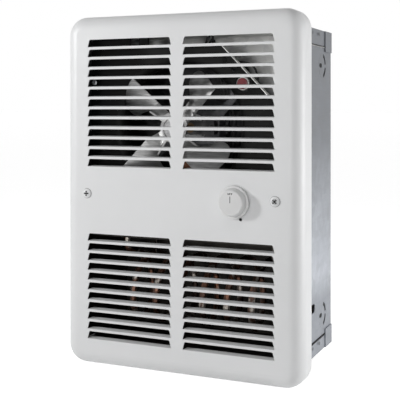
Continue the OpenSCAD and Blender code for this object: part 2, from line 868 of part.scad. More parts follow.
function lead_angle(r) = lead_dir - asin(min(lead_off, lead_root[0] + lead_root[1] * r) / r);
function lobe_angle(r) = lobe_dir
    + acos(min(1, (r * r + lobe_at * lobe_at - lobe_r * lobe_r) / (2 * r * lobe_at)));
function trail_angle(r) = r > lobe_join ? lobe_angle(r)
    : root_dir + max(0, r - root_l) / (lobe_join - root_l) * (lobe_angle(lobe_join) - root_dir);

// A point of the blade's front (-1) or back (1) face, u of the way from the root to the tip
// and v of the way from the leading edge to the trailing edge
function blade_point(u, v, face) = let (
    r = blade_root + (fan_r - blade_root) * sin(90 * u),
    a = lead_angle(r) * (1 - v) + trail_angle(r) * v,
    rise = tan(blade_pitch) * r * (a - root_dir) * PI / 180 - 4 * blade_camber * v * (1 - v),
    turn = smooth((r - twist_r[0]) / (twist_r[1] - twist_r[0])))
    [r * cos(a), turn * rise + face * blade_t / 2 / cos(blade_pitch), r * sin(a)];

// One blade: a cambered sheet that twists out of the disc
module blade() {
    n = blade_steps[0];
    m = blade_steps[1];
    pts = [for (face = [-1, 1]) for (i = [0:n]) for (j = [0:m])
        blade_point(i / n, j / m, face)];
    function at(i, j, back) = back * (n + 1) * (m + 1) + i * (m + 1) + j;
    function skin(i, j, k) = [at(i, j, k), at(i, j + 1, k), at(i + 1, j + 1, k), at(i + 1, j, k)];
    function halves(q) = [[q[0], q[1], q[2]], [q[0], q[2], q[3]]];
    function rim(a, b) = [at(a[0], a[1], 0), at(b[0], b[1], 0), at(b[0], b[1], 1), at(a[0], a[1], 1)];
    quads = concat(
        [for (i = [0:n - 1]) for (j = [0:m - 1]) skin(i, j, 0)],
        [for (i = [0:n - 1]) for (j = [0:m - 1]) let (q = skin(i, j, 1)) [q[3], q[2], q[1], q[0]]],
        [for (i = [0:n - 1]) each [rim([i, 0], [i + 1, 0]), rim([i + 1, m], [i, m])]],
        [for (j = [0:m - 1]) each [rim([0, j + 1], [0, j]), rim([n, j], [n, j + 1])]]);
    polyhedron(points = pts, faces = [for (q = quads) each halves(q)], convexity = 6);
}

// The stamping: a disc with a pressed ring and four arms, and a blade beside each arm
module fan_blades() {
    color("silver") translate([fan_x, blade_y, fan_z]) difference() {
        union() {
            for (i = [0:blades - 1]) rotate([0, 360 * i / blades, 0]) blade();
            slab(-disc_t / 2, disc_t / 2) {
                circle(disc_r);
                for (i = [0:blades - 1]) rotate(root_dir + 360 * i / blades)
                    translate([disc_r - 2, -root_w / 2]) square([root_l - disc_r + 2, root_w]);
            }
            turned(0, 0) translate([disc_bead[0], -disc_t / 2]) circle(disc_bead[1]);
        }
        slab(-fan_r, fan_r) circle(nose_r + slip);
    }
}

// The hub: a boss behind the blades, a nose through them
module fan_hub() {
    disc_back = blade_y + disc_t / 2;
    color("gray") difference() {
        union() {
            rod(fan_x, fan_z, nose_r, hub_front, disc_back);
            rod(fan_x, fan_z, hub_r, disc_back, hub_back);
        }
        rod(fan_x, fan_z, shaft_r + slip, hub_front + 3, hub_back + past);
        translate([fan_x, set_screw_y, fan_z + shaft_r])
            cylinder(r = set_screw_r + slip, h = hub_r);
    }
}

module hub_set_screw() {
    color("dimgray") translate([fan_x, set_screw_y, fan_z]) difference() {
        translate([0, 0, shaft_r + 0.05]) cylinder(r = set_screw_r, h = hub_r - shaft_r - 1);
        translate([0, 0, hub_r - 2.4]) cylinder(r = 0.6 * set_screw_r, h = 3, $fn = 6);
    }
}

// ---- motor ----

module motor_shaft() {
    color("silver") rod(fan_x, fan_z, shaft_r, hub_front + 4,
        rear_bearing_y + frame_t + shaft_tail);
}

module motor_rotor() {
    ring_t = 3;
    color("darkgray") difference() {
        union() {
            rod(fan_x, fan_z, rotor_r, stator_y, stator_back);
            rod(fan_x, fan_z, rotor_r - 2, stator_y - ring_t, stator_back + ring_t);
        }
        rod(fan_x, fan_z, shaft_r + 0.01, stator_y - ring_t - past, stator_back + ring_t + past);
    }
}

module motor_stator() {
    half = bolt_x + stator_edge;
    top = rotor_r + stator_wall;
    color("dimgray") slab(stator_y, stator_back) translate([fan_x, fan_z]) difference() {
        translate([-half, -core_top - core_w]) square([2 * half, core_top + core_w + top]);
        circle(rotor_r + air_gap);
        translate([-window_x, -core_top]) square([2 * window_x, core_top - top + 1]);
        for (s = [-1, 1]) {
            translate([s * bolt_x, 0]) circle(bolt_d / 2 + slip);
            // slots of the shading rings
            translate([s * rotor_r * 0.74, rotor_r * 0.74]) rotate(s * -45)
                square([2, 0.56 * rotor_r], center = true);
        }
    }
}

module winding_box(grow, x_half) {
    translate([fan_x, 0, fan_z]) block(
        [-x_half, stator_y - grow, -core_top - core_w - grow],
        [x_half, stator_back + grow, -core_top + grow]);
}

module motor_bobbin() {
    color("ivory") difference() {
        union() {
            winding_box(bobbin_gap + bobbin_t, window_x - bobbin_t);
            for (s = [-1, 1]) translate([s * (window_x - 1.5 * bobbin_t), 0, 0])
                winding_box(coil_build, bobbin_t / 2);
        }
        winding_box(bobbin_gap, window_x + past);
    }
}

module motor_winding() {
    color("chocolate") difference() {
        winding_box(coil_build - 1, window_x - 2 * bobbin_t - air);
        winding_box(bobbin_gap + bobbin_t + air, window_x + past);
    }
}

// A strap across the stator that holds a bearing. Its ends reach from the strap's plate to
// the seat, and its boss points towards the rotor.
module bearing_strap(plate, seat, boss) {
    front = min(plate[0], seat[0]) - past;
    back = max(plate[1], seat[1]) + past;
    difference() {
        union() {
            slab(plate[0], plate[1]) translate([fan_x, fan_z])
                square([2 * (bolt_x + strap_end), strap_w], center = true);
            for (s = [-1, 1]) translate([fan_x + s * bolt_x, 0, fan_z])
                block([-strap_end, seat[0], -strap_w / 2], [strap_end, seat[1], strap_w / 2]);
            rod(fan_x, fan_z, boss_r, boss[0], boss[1]);
        }
        rod(fan_x, fan_z, bearing_r + 0.02, front - boss_len, back + boss_len);
        for (s = [-1, 1])
            rod(fan_x + s * bolt_x, fan_z, bolt_d / 2 + slip, front, back);
    }
}

module front_bearing_bracket() {
    plate_back = front_bearing_y + frame_t;
    color("silver") bearing_strap([front_bearing_y, plate_back], [plate_back, spider_y],
        [front_bearing_y, plate_back + boss_len]);
}

module rear_bearing_bracket() {
    plate_back = rear_bearing_y + frame_t;
    color("silver") bearing_strap([rear_bearing_y, plate_back], [stator_back, rear_bearing_y],
        [rear_bearing_y - boss_len, plate_back]);
}

module motor_bearings() {
    color("peru") for (y = [front_bearing_y, rear_bearing_y - boss_len]) difference() {
        rod(fan_x, fan_z, bearing_r, y, y + bearing_len);
        rod(fan_x, fan_z, shaft_r + run, y - past, y + bearing_len + past);
    }
}

module motor_bolts() {
    color("silver") for (s = [-1, 1])
        screw(fan_x + s * bolt_x, fan_z, front_bearing_y, rear_bearing_y + frame_t + shaft_tail,
            bolt_d, bolt_head[0], bolt_head[1]);
}

// Strap that carries the motor: a plate, two arms and two legs to the deck
module motor_bracket() {
    plate = bolt_x + spider_edge;
    leg_top = leg_z + frame_t;
    color("silver") translate([fan_x, 0, fan_z]) difference() {
        for (s = [0, 180]) rotate([0, s, 0]) {
            slab(spider_y, stator_y) polygon([[-plate, -spider_low], [plate, -spider_low],
                [plate, arm_root], [arm_out, arm_z], [arm_out, leg_top], [arm_in, leg_top],
                [arm_in, arm_z + arm_rise], [bolt_x, spider_high], [-plate, spider_high]]);
            block([foot_in, deck_back, leg_z], [foot_out, stator_y, leg_top]);
            block([foot_in, deck_back, foot_z],
                [foot_out, deck_back + frame_t, leg_z + frame_t / 2]);
        }
        rod(0, 0, rotor_r + spider_bore, spider_y - past, stator_y + past);
        for (s = [-1, 1]) {
            rod(s * bolt_x, 0, bolt_d / 2 + slip, spider_y - past, stator_y + past);
            rod(s * foot_screw[0], s * foot_screw[1], deck_screw_d / 2 + slip,
                deck_back - past, deck_back + frame_t + past);
        }
    }
}

module bracket_screws() {
    color("silver") for (s = [-1, 1])
        screw(fan_x + s * foot_screw[0], fan_z + s * foot_screw[1], deck_y,
            deck_back + frame_t + screw_tip, deck_screw_d, deck_head_d, deck_head_h);
}

// ---- heating chamber ----

// Centre line of the element, from its left terminal to its right one
function coil_point(a) = [coil_x0 + coil_pitch * a / 360,
    coil_y - coil_r * cos(a), coil_z + coil_r * sin(a)];
element_left = [coil_point(coil_start)[0], coil_y - lead_bend];
element_right = [coil_point(coil_end)[0], coil_y + lead_bend];
bend_z = coil_z + coil_r + lead_bend;
element_path = concat(
    [[element_left[0], element_left[1], lead_top],
     [element_left[0], element_left[1], lead_top - tube_d],
     [element_left[0], element_left[1], bend_z + 1]],
    [for (a = [0:ring_step:89]) [element_left[0], coil_y - lead_bend * cos(a),
        bend_z - lead_bend * sin(a)]],
    [for (a = [coil_start:ring_step:coil_end]) coil_point(a)],
    [for (a = [ring_step:ring_step:90]) [element_right[0], coil_y + lead_bend * sin(a),
        bend_z - lead_bend * cos(a)]],
    [[element_right[0], element_right[1], lead_top - tube_d],
     [element_right[0], element_right[1], lead_top]]);

module heating_element() {
    gap = min([for (i = [0:len(element_path) - 1], j = [i + 12:1:len(element_path) - 1])
        norm(element_path[i] - element_path[j])]) - tube_d;
    echo(least_gap_of_element = gap);
    color("sienna") tube(element_path, tube_d / 2, tube_sides, [1, 0, 0]);
}

module element_bushings() {
    neck_z = shelf_z - box_t - 3;
    color("ivory") for (p = [element_left, element_right])
        translate([p[0], p[1], 0]) difference() {
            union() {
                translate([0, 0, shelf_z]) cylinder(r = bushing_r, h = bushing_h);
                translate([0, 0, neck_z]) cylinder(r = bushing_neck_r, h = bushing_h);
            }
            translate([0, 0, neck_z - past])
                cylinder(r = tube_d / 2 + air, h = 2 * bushing_h);
        }
}

// Cold pins and their flat tabs
module element_terminals() {
    color("silver") for (p = [element_left, element_right])
        translate([p[0], p[1], lead_top]) {
            cylinder(r = pin_r, h = pin_l);
            translate([-0.4, -pin_tab[0] / 2, pin_tab_up]) cube([0.8, pin_tab[0], pin_tab[1]]);
        }
}

// Hooks round two of the coil's turns, hung from the baffle
module element_hangers() {
    half = hanger_w / 2;
    inner_r = tube_d / 2 + air + 0.5;
    outer_r = inner_r + hanger_t - 0.5;
    up = shelf_z - box_t - coil_z - coil_r;
    color("silver") for (i = [0, coil_loops - 1])
        translate([coil_x0 + coil_pitch * (i + 0.25), coil_y, coil_z + coil_r]) difference() {
            union() {
                rotate([90, 0, 0]) cylinder(r = outer_r, h = hanger_w, center = true);
                block([outer_r - hanger_t, -half, 0], [outer_r, half, up]);
                block([outer_r - hanger_t, -half, up - hanger_t],
                    [outer_r - hanger_t + hanger_foot, half, up]);
            }
            rotate([90, 0, 0]) cylinder(r = inner_r, h = 2 * hanger_w, center = true);
            block([-outer_r - past, -hanger_w, 0.5], [inner_r - 1.1, hanger_w, outer_r + past]);
        }
}

// The shelf between the fan deck and the heating chamber, open towards the back
module air_baffle() {
    color("lightsteelblue") difference() {
        union() {
            block([-side_x, 0, shelf_z - box_t], [side_x, baffle_back, shelf_z]);
            block([-side_x, 0, shelf_z - baffle_lip], [side_x, box_t, shelf_z]);
            mirrored() block([side_x - box_t, 0, shelf_z - baffle_side],
                [side_x, baffle_back, shelf_z]);
        }
        for (p = [element_left, element_right])
            translate([p[0], p[1], shelf_z - box_t - past])
                cylinder(r = baffle_hole_r, h = box_t + 2 * past);
    }
}

// ---- limit switch ----

module limit_switch() {
    limit_back = deck_back + limit_d;
    color([0.2, 0.2, 0.2]) difference() {
        union() {
            rod(reset_x, reset_z, limit_r, deck_back, limit_back);
            for (s = [-1, 1]) translate([reset_x + s * switch_tab_x - switch_tab[0] / 2,
                limit_back - 1, reset_z - switch_tab[2] / 2])
                cube([switch_tab[0], switch_tab[1], switch_tab[2]]);
        }
        rod(reset_x, reset_z, stem_r + run, deck_back - past, deck_back + stem_l + 3);
    }
}

module limit_bezel() {
    r = bezel_d / 2;
    bore = reset_d / 2 + run;
    color("silver") turned(reset_x, reset_z) polygon([
        [bore, bezel_front], [r - bezel_bevel, bezel_front], [r, bezel_front + bezel_bevel],
        [r, deck_y], [bore, deck_y]]);
}

module reset_button() {
    r = reset_d / 2;
    edge = 1;
    color("firebrick") turned(reset_x, reset_z) polygon(concat(
        [[0, deck_back + stem_l], [stem_r, deck_back + stem_l], [stem_r, reset_back],
         [r, reset_back]], arc(r - edge, reset_front + edge, edge, 0, -90, 4),
        [[0, reset_front]]));
}

// ---- wiring ----

module terminal_block() {
    color([0.12, 0.12, 0.12]) translate([terminal_x, 0, terminal_z]) difference() {
        block([-terminal_w / 2, deck_y - terminal_d, -terminal_h / 2],
            [terminal_w / 2, deck_y, terminal_h / 2]);
        for (i = [-1:1]) translate([terminal_pitch * i, 0, 0]) {
            block([-terminal_way / 2, deck_y - terminal_d - past, -terminal_h],
                [terminal_way / 2, terminal_floor, terminal_h]);
            rod(0, 0, terminal_screw_d / 2 + slip, terminal_floor - past, deck_y - 2);
        }
    }
}

module terminal_screws() {
    color("gold") for (i = [-1:1])
        screw(terminal_x + terminal_pitch * i, terminal_z, terminal_floor, deck_y - 2.5,
            terminal_screw_d, deck_head_d, deck_head_h);
}

module ground_screw() {
    color("seagreen") {
        slab(deck_y - ground_head[1], deck_y) translate([ground_x, ground_z])
            circle(d = ground_head[0], $fn = 6);
        rod(ground_x, ground_z, deck_screw_d / 2, deck_y - 0.01, deck_back + screw_tip + 2);
    }
}

// From the limit switch over the deck's top edge and back down to the motor's winding
module motor_leads() {
    tab_y = deck_back + limit_d - 1 + switch_tab[1];
    winding_y = stator_back + coil_build - 1;
    for (s = [0, 1]) {
        d = lead_pair * s;
        color(s == 0 ? "black" : "firebrick") tube(route(
            [reset_x + (2 * s - 1) * switch_tab_x, tab_y + air, reset_z], [0, 1, 0],
            concat([for (i = [0:len(lead_over) - 1])
                [corner_x, deck_back, lead_level[i]] + lead_over[i] + d * lead_beside[i]],
                [for (p = lead_down) [fan_x - d, stator_back, fan_z] + p]),
            [fan_x + core_w - 2 - 2 * d, winding_y + air, fan_z - core_top - core_w / 2],
            [0, 1, 0]), lead_r, tube_sides, [0.15, 0.5, 0.85]);
    }
}

// From the left element terminal through the deck to the terminal block
module element_leads() {
    hole = wire_holes[0];
    color("white") tube(route(
        [element_left[0], element_left[1], lead_top + pin_tab_up + pin_tab[1] + air], [0, 0, 1],
        [for (p = lead_element) [hole[0], deck_y, hole[1]] + p],
        [terminal_x - terminal_pitch, wire_y, terminal_z + lead_end], [0, 0, 1]),
        lead_r, tube_sides, [0.35, 0.5, 0.2]);
}

// From the thermostat's spade terminals to the terminal block and the limit switch
module thermostat_leads() {
    hole = wire_holes[1];
    low_z = (shelf_z + terminal_z - terminal_h / 2) / 2;
    tab = [knob_x - spade_x, plate_y + plate_t + thermo_d - spade_back + spade[2] / 2,
        knob_z - thermo_h / 2 + 1 - spade[1] - air];
    color("black") {
        tube(route(tab, [0, 0, -1],
            concat([[tab[0], deck_y, shelf_z] + lead_low_start],
                [for (x = lead_low) [terminal_x + x, wire_y, low_z]]),
            [terminal_x + terminal_pitch, wire_y, terminal_z - lead_end], [0, 0, -1]),
            lead_r, tube_sides, [0.1, 0.97, 0.2]);
        tube(route(tab + [2 * spade_x, 0, 0], [0, 0, -1],
            concat([for (p = lead_up) [hole[0], deck_y, hole[1]] + p],
                [[reset_x, deck_back + limit_d, reset_z] + lead_up_end]),
            [reset_x, deck_back + limit_d + air, reset_z - 2 * limit_r / 3], [0, 1, 0]),
            lead_r, tube_sides, [0.93, 0.3, 0.2]);
    }
}

front_cover();
cover_screws();
index_dot();
knob();
thermostat_shaft();
thermostat_body();
thermostat_nut();
thermostat_plate();
cover_brackets();
box_wrap();
box_top_cap();
box_bottom_cap();
deck_rails();
fan_deck();
deck_screws();
fan_blades();
fan_hub();
hub_set_screw();
motor_shaft();
motor_rotor();
motor_stator();
motor_bobbin();
motor_winding();
front_bearing_bracket();
rear_bearing_bracket();
motor_bearings();
motor_bolts();
motor_bracket();
bracket_screws();
air_baffle();
heating_element();
element_bushings();
element_terminals();
element_hangers();
limit_switch();
limit_bezel();
reset_button();
terminal_block();
terminal_screws();
ground_screw();
motor_leads();
element_leads();
thermostat_leads();
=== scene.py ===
"""Looks of a recessed fan-forced wall heater, dressed over its CAD frame.

Units are metres in the CAD frame: +X to the viewer's right, +Y into the wall, +Z up.
"""
import json
import math

import bmesh
import bpy
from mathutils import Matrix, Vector


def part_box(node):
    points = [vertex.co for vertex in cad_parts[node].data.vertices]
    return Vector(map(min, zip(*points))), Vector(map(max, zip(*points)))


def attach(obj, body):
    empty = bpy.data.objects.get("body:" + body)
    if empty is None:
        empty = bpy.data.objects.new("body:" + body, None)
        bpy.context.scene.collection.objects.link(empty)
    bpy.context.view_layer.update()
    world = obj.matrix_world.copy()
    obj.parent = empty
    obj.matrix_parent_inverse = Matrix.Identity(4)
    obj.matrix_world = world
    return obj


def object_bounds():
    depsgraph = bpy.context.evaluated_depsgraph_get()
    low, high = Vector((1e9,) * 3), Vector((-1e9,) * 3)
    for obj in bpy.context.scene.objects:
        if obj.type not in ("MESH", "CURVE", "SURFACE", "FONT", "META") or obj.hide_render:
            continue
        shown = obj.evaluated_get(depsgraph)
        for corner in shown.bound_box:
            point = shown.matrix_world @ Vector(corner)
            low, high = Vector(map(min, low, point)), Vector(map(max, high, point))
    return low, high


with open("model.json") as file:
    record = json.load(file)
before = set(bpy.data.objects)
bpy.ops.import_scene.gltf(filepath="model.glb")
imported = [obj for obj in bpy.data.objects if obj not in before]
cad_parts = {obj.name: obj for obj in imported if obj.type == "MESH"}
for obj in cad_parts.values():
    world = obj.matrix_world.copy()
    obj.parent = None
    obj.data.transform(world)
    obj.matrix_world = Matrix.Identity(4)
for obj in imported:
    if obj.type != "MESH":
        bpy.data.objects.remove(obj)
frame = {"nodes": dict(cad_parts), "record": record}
cad_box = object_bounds()

MM = 0.001

# ---- camera ----

IMAGE_PX = 400                  # side of the photograph's frame
FOCAL_PX = 872.65
HORIZON_PX = 108.2              # row of the horizon, from the frame's top
CAMERA_AT = (0.4123, -0.9118, 0.0959)
CAMERA_YAW = math.radians(23.626)
SENSOR_MM = 36.0

# ---- light ----

# The key throws the knob's shadow from the upper left. The fill stands behind the cover's
# plane, so that it reaches only the rim and the box's right side.
AMBIENT = 0.11
KEY = dict(at=(-1.00, -0.78, 0.34), size=0.2, watts=7.4)
FRONT = dict(at=(0.20, -1.47, 0.10), size=0.12, watts=3.8)
TOP = dict(at=(0.10, -0.85, 1.05), size=0.5, watts=2.3)
FILL = dict(at=(0.75, 0.20, 0.02), size=0.4, watts=3.1)
AIM = (0.0, 0.0, 0.0)

# ---- floor ----

FLOOR_GREY = 0.85
FLOOR_GLOW = 0.82               # brings the floor up to the background's white
FLOOR_REACH = 60                # from the middle to each edge

# ---- the zinc's painted light and shade, and its heat browning ----

# Each pair holds the places between which one look gives way to the next.
INNER_SIDE = (0.1366, 0.1369)   # across from the middle: the box's inside to its outside
INNER_BACK = (0.1038, 0.1041)   # depth: the same
HEAT_AND_SHADE_EDGE = (-0.052, -0.044)    # height: heat browning with painted shade to painted shade
PAINTED_LIGHT_TOP = (0.150, 0.164)       # height: painted shade to painted light
PAINTED_LIGHT_LEFT = (-0.134, -0.130)    # across: the left side in painted shade to the back in painted light
CUT_SLOPE = 1.036               # fall of the deck's cut corner for each step to the right
PAINTED_LIGHT_EDGE = (0.175, 0.195)      # height over the middle of a line that falls so: to painted light
PAINTED_FOOT_SHADE_EDGE = (-0.125, -0.095)    # outside, height: painted shade at the bottom to the lightest painted reflection
PAINTED_TOP_SHADE_EDGE = (-0.09, 0.06)      # outside, height: the lightest painted reflection to the darkest, at the top

# ---- marks on the knob ----

LETTER_W = 1.5 * MM
LETTER_H = 1.9 * MM
LETTER_GAP = 0.5 * MM
STROKE = 0.6 * MM
F_BAR = 0.8                     # reach of the F's middle bar, as a share of LETTER_W
WORD_Z = 8.8 * MM               # foot of the word, above the knob's middle
POINTER_W = 0.75 * MM
POINTER_TOP = 7.2 * MM          # above the knob's middle
INK_UNDER = 0.01 * MM           # foot of the ink, under the knob's face
INK_DEPTH = 0.03 * MM

# ---- cover screws, with painted shade in their recesses and round their heads, the left one first ----

CROSS_TURNS = (0.0, math.pi / 4)
CROSS_REACH = 2.9 * MM
CROSS_HALF = 0.85 * MM          # half the width of an arm
RECESS_UNDER = 0.12 * MM        # the recess's floor, under the head's face
RECESS_DEPTH = 0.7 * MM
SHADOW_RING_INNER = 0.02 * MM          # inner edge of the painted shadow ring, from the head's edge
SHADOW_RING_OUTER = 0.55 * MM            # outer edge of the painted shadow ring, from the head's edge
SHADOW_RING_UNDER = 0.2 * MM            # foot of the painted shadow ring, under the cover's face
SHADOW_RING_DEPTH = 0.25 * MM

# ---- knockouts in the box's right side ----

KNOCKOUT_R = 14.3 * MM
KNOCKOUT_Y = 68 * MM
KNOCKOUT_IN = 39.3 * MM         # from the upper or lower end of the box's side
DISC_LAP = 0.2 * MM             # overlap of the disc's edge with the side
DISC_PROUD = 0.05 * MM
DISC_SHEET = 0.5 * MM
SLIT_W = 4.2 * MM
SLIT_START = math.radians(8)    # half the angle of the strip between the slits
SLIT_END = math.radians(72)
PRY_Y = -7.5 * MM               # middle of the pry slot, from the disc's
PRY_W = 11 * MM
PRY_H = 5.0 * MM

# ---- flange along the deck's cut corner ----

FLANGE_X = 32.5 * MM            # its upper end
FLANGE_Z = 170.5 * MM
FLANGE_RUN = 86 * MM
FLANGE_DEPTH = 8 * MM
FLANGE_SHEET = 0.7 * MM

# ---- caps, the top one first ----

CAP_FLANGES = (18 * MM, 15.5 * MM)      # height of the flange that laps the box's side
SEAM_SHADOW_WIDTHS = (0.6 * MM, 1.2 * MM)      # of the painted shadow below or above that flange
SEAM_UNDER = 0.1 * MM           # overlap of the painted shadow with the flange
SEAM_PROUD = 0.02 * MM          # past the flange's face
SEAM_FRONT = 1 * MM             # the painted shadow's ends, from the front and back of the box's side
SEAM_BACK = 31 * MM
WELD_INS = (5.4 * MM, 11 * MM)  # from the cap's outer edge
WELD_YS = (26 * MM, 52 * MM)
WELD_R = 2.1 * MM
WELD_PROUD = 0.1 * MM

# ---- laps inside the box's left side ----

LAP_X = 1.2 * MM                # from the side's outer face
LAP_SHEET = 0.4 * MM
LAP_FRONT = 0.2 * MM            # the laps' ends, from the front and back of the box's side
LAP_BACK = 2 * MM
LAP_UNDER = 0.4 * MM            # overlap with the cap's flange
LAP_OVER = 3 * MM               # overlap with the box's side
CORNER_EDGE = 1.5 * MM          # from the cap's outer edge
CORNER_H = 12 * MM
CORNER_Y = 22 * MM

# ---- places, from the frame ----

knob_low, knob_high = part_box("knob")
knob_face = knob_low[1]
knob_x = (knob_low[0] + knob_high[0]) / 2
knob_z = (knob_low[2] + knob_high[2]) / 2
floor_z = cad_box[0][2]
wrap_low, wrap_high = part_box("box_wrap")
top_cap_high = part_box("box_top_cap")[1]
bottom_cap_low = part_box("box_bottom_cap")[0]
cap_face = top_cap_high[0]      # of the flange on the box's right side
# Each cap: the height of its outer edge, the way inwards from there, its flange's height
caps = ((top_cap_high[2], -1, CAP_FLANGES[0]), (bottom_cap_low[2], 1, CAP_FLANGES[1]))


def make_camera():
    """The photograph's camera: level, turned to the left, its horizon above the middle."""
    data = bpy.data.cameras.new("camera")
    data.sensor_width = SENSOR_MM
    data.lens = SENSOR_MM * FOCAL_PX / IMAGE_PX
    data.shift_y = (HORIZON_PX - IMAGE_PX / 2) / IMAGE_PX
    camera = bpy.data.objects.new("camera", data)
    camera.location = CAMERA_AT
    camera.rotation_euler = (math.pi / 2, 0, CAMERA_YAW)
    bpy.context.scene.collection.objects.link(camera)
    bpy.context.scene.camera = camera


# ---- node helpers ----


class Nodes:
    """A material's node tree with short calls for what the materials below repeat."""

    def __init__(self, name):
        self.material = bpy.data.materials.new(name)
        self.material.use_nodes = True
        self.tree = self.material.node_tree
        self.shader = self.tree.nodes["Principled BSDF"]
        self.place = self.add("ShaderNodeTexCoord").outputs["Object"]

    def add(self, kind, **settings):
        node = self.tree.nodes.new(kind)
        for key, value in settings.items():
            setattr(node, key, value)
        return node

    def link(self, source, target):
        self.tree.links.new(source, target)

    def put(self, node, **values):
        """Set a node's inputs: a number or colour is set, an output is linked."""
        for key, value in values.items():
            socket = node.inputs[key.replace("_", " ")]
            if isinstance(value, bpy.types.NodeSocket):
                self.link(value, socket)
            else:
                socket.default_value = value

    def principled(self, **values):
        self.put(self.shader, **values)

    def mapped(self, scale):
        """The place, scaled along each axis."""
        node = self.add("ShaderNodeMapping")
        self.put(node, Vector=self.place, Scale=scale)
        return node.outputs["Vector"]

    def axes(self):
        """The place's own x, y and z, in metres."""
        node = self.add("ShaderNodeSeparateXYZ")
        self.link(self.place, node.inputs["Vector"])
        return [node.outputs[axis] for axis in "XYZ"]

    def noise(self, scale, detail, stretch=(1, 1, 1)):
        node = self.add("ShaderNodeTexNoise")
        self.put(node, Vector=self.mapped(stretch), Scale=scale, Detail=detail)
        return node.outputs["Fac"]

    def cells(self, scale):
        """One random value for each Voronoi cell."""
        node = self.add("ShaderNodeTexVoronoi")
        self.put(node, Vector=self.place, Scale=scale)
        split = self.add("ShaderNodeSeparateColor")
        self.link(node.outputs["Color"], split.inputs["Color"])
        return split.outputs["Red"]

    def ramp(self, value, low, high, start=0.0, end=1.0):
        """Map a value from start..end to low..high, clamped."""
        node = self.add("ShaderNodeMapRange")
        self.put(node, Value=value, From_Min=start, From_Max=end, To_Min=low, To_Max=high)
        return node.outputs["Result"]

    def blend(self, value, colour_a, colour_b):
        """From colour_a where value is 0 to colour_b where it is 1."""
        node = self.add("ShaderNodeMix", data_type="RGBA")
        self.link(value, node.inputs["Factor"])
        sockets = [s for s in node.inputs if s.type == "RGBA"]
        for socket, colour in zip(sockets, (colour_a, colour_b)):
            if isinstance(colour, bpy.types.NodeSocket):
                self.link(colour, socket)
            else:
                socket.default_value = (*colour, 1)
        return [s for s in node.outputs if s.type == "RGBA"][0]

    def math(self, operation, a, b):
        node = self.add("ShaderNodeMath", operation=operation)
        for socket, value in zip(node.inputs, (a, b)):
            if isinstance(value, bpy.types.NodeSocket):
                self.link(value, socket)
            else:
                socket.default_value = value
        return node.outputs["Value"]

    def bump(self, height, depth):
        """Relief of the given depth in metres."""
        node = self.add("ShaderNodeBump")
        self.put(node, Height=height, Distance=depth, Strength=1.0)
        return node.outputs["Normal"]

    def times(self, a, b):
        return self.math("MULTIPLY", a, b)

    def plus(self, a, b):
        return self.math("ADD", a, b)

    def spread(self, noise, low=0, high=1):
        """Map a noise's usual range to low..high."""
        return self.ramp(noise, low, high, 0.3, 0.7)


def scaled(colour, factor):
    return tuple(c * factor for c in colour)


# ---- materials ----


def paint(name, colour, roughness, peel, mottle=0.03, sheen=0.5):
    """Baked coat: orange peel in the relief and a faint change of tone."""
    n = Nodes(name)
    tone = n.spread(n.noise(14, 3))
    n.principled(Base_Color=n.blend(tone, scaled(colour, 1 - mottle), colour),
                 Roughness=n.spread(n.noise(60, 2), roughness - 0.04, roughness + 0.04),
                 Normal=n.bump(n.noise(620, 2), peel), Specular_IOR_Level=sheen)
    return n.material


